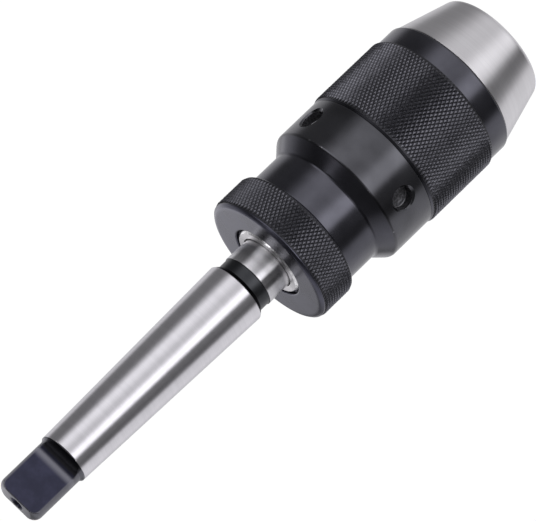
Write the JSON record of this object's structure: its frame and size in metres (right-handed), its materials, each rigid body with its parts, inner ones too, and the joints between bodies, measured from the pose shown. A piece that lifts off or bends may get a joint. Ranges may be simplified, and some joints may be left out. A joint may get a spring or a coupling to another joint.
{
  "type": "keyless drill chuck",
  "caption": "Keyless self-tightening drill chuck with knurled grips and bright nose on a Morse taper 2 arbor with tang.",
  "frame": {"origin": "centre of the Morse taper's gauge plane, on the chuck's axis", "axes": "+Z along the axis towards the tang, with the nose pointing down; the tang's broad faces look along -Y and +Y"},
  "size_m": [0.044, 0.044, 0.1793],
  "materials": {
    "ground_steel": "ground",
    "black_oxide": "blackened, glossy",
    "black_oxide_knurl": "blackened, diamond knurl",
    "hardened_steel": "hardened and ground",
    "jaw_steel": "hardened",
    "cage_brass": "turned",
    "seal_rubber": "matte"
  },
  "bodies": {
    "arbor_and_hub": {"taper_arbor": "ground_steel", "hub": "ground_steel", "rear_grip_ring": "black_oxide_knurl", "dust_seal": "seal_rubber", "hub_race": "hardened_steel"},
    "bearing_cage": {"ball_cage": "cage_brass", "ball_01": "hardened_steel", "ball_02": "hardened_steel", "ball_03": "hardened_steel", "ball_04": "hardened_steel", "ball_05": "hardened_steel", "ball_06": "hardened_steel", "ball_07": "hardened_steel", "ball_08": "hardened_steel", "ball_09": "hardened_steel", "ball_10": "hardened_steel", "ball_11": "hardened_steel", "ball_12": "hardened_steel", "ball_13": "hardened_steel", "ball_14": "hardened_steel", "ball_15": "hardened_steel", "ball_16": "hardened_steel"},
    "sleeve": {"rear_hood": "black_oxide", "hood_race": "hardened_steel", "knurled_sleeve": "black_oxide_knurl", "nose_sleeve": "ground_steel", "jaw_guide": "hardened_steel", "guide_pin_1": "hardened_steel", "guide_pin_2": "hardened_steel", "guide_pin_3": "hardened_steel"},
    "screw": {"feed_screw": "hardened_steel"},
    "jaw_a": {"jaw_1": "jaw_steel"},
    "jaw_b": {"jaw_2": "jaw_steel"},
    "jaw_c": {"jaw_3": "jaw_steel"}
  },
  "joints": [
    {"name": "sleeve_turn", "type": "hinge", "parent": "arbor_and_hub", "child": "sleeve", "pos_m": [0, 0, -0.05], "axis": [0, 0, 1], "range_deg": [0, 1945.2]},
    {"name": "cage_turn", "type": "hinge", "parent": "arbor_and_hub", "child": "bearing_cage", "pos_m": [0, 0, -0.048], "axis": [0, 0, 1], "range_deg": [0, 972.7]},
    {"name": "screw_feed", "type": "slide", "parent": "sleeve", "child": "screw", "axis": [0, 0, -1], "range_m": [0, 0.01621]},
    {"name": "jaw_1_slide", "type": "slide", "parent": "sleeve", "child": "jaw_a", "axis": [-0.2962, -0.171, -0.9397], "range_m": [0, 0.01725]},
    {"name": "jaw_2_slide", "type": "slide", "parent": "sleeve", "child": "jaw_b", "axis": [0.2962, -0.171, -0.9397], "range_m": [0, 0.01725]},
    {"name": "jaw_3_slide", "type": "slide", "parent": "sleeve", "child": "jaw_c", "axis": [0, 0.342, -0.9397], "range_m": [0, 0.01725]}
  ],
  "couplings": [
    {"joint": "cage_turn", "follows": "sleeve_turn", "ratio": 0.5},
    {"joint": "screw_feed", "follows": "sleeve_turn", "m_per_rad": 0.00047746},
    {"joint": "jaw_1_slide", "follows": "sleeve_turn", "m_per_rad": 0.00050811},
    {"joint": "jaw_2_slide", "follows": "sleeve_turn", "m_per_rad": 0.00050811},
    {"joint": "jaw_3_slide", "follows": "sleeve_turn", "m_per_rad": 0.00050811}
  ]
}
